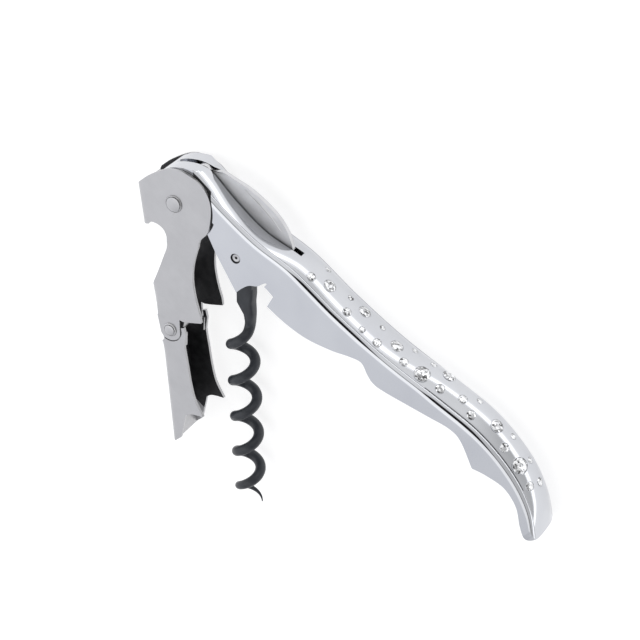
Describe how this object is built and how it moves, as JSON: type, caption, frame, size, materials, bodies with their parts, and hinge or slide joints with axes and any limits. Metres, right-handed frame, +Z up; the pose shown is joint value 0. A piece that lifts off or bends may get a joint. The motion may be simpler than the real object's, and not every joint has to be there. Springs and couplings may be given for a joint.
{
  "type": "lever corkscrew",
  "caption": "Two-step lever corkscrew with a jewelled chrome handle, folding foil knife, coated worm and hinged lever, lying on its side",
  "frame": {"origin": "the middle of the bounding box, on the resting side", "axes": "+X from the lever head to the handle's tail, +Y towards the handle's back with the crystals, +Z up out of the resting side and along the hinge pins"},
  "size_m": [0.123, 0.0752, 0.0124],
  "materials": {
    "handle_chrome": "polished",
    "crystal": "faceted, clear",
    "blade_steel": "fine brushed",
    "lever_steel": "satin",
    "pin_steel": "satin",
    "spring_steel": "satin",
    "washer_brass": "plain",
    "worm_coating": "smooth satin",
    "spacer_plastic": "plain"
  },
  "bodies": {
    "handle": {"handle_body": "handle_chrome", "crystals_small": "crystal", "crystals_medium": "crystal", "crystals_large": "crystal", "crystals_jumbo": "crystal", "knife_pin": "pin_steel", "knife_washers": "washer_brass", "knife_stop_pin": "pin_steel", "back_spring": "spring_steel", "lever_pin": "pin_steel", "lever_bushing": "washer_brass", "lever_washers": "washer_brass", "worm_pin": "pin_steel", "worm_spacers": "spacer_plastic"},
    "knife": {"knife_blade": "blade_steel"},
    "lever": {"lever_upper": "lever_steel", "lower_pin": "pin_steel", "lower_sleeve": "pin_steel", "lower_washers": "washer_brass"},
    "lower_lever": {"lever_lower": "lever_steel"},
    "worm": {"worm": "worm_coating"}
  },
  "joints": [
    {"name": "lever_pivot", "type": "hinge", "parent": "handle", "child": "lever", "pos_m": [-0.05188, 0.01523, 0.0062], "axis": [0, 0, 1], "range_deg": [-30, 41]},
    {"name": "lower_lever_pivot", "type": "hinge", "parent": "lever", "child": "lower_lever", "pos_m": [-0.03208, -0.01267, 0.0062], "axis": [0, 0, 1], "range_deg": [-75, 0]},
    {"name": "worm_pivot", "type": "hinge", "parent": "handle", "child": "worm", "pos_m": [-0.03288, 0.01673, 0.0062], "axis": [0, 0, 1], "range_deg": [-46, 62]},
    {"name": "knife_pivot", "type": "hinge", "parent": "handle", "child": "knife", "pos_m": [-0.05208, 0.02373, 0.0062], "axis": [0, 0, 1], "range_deg": [0, 150]}
  ],
  "couplings": [
    {"joint": "worm_pivot", "follows": "lever_pivot", "ratio": 1.5}
  ]
}
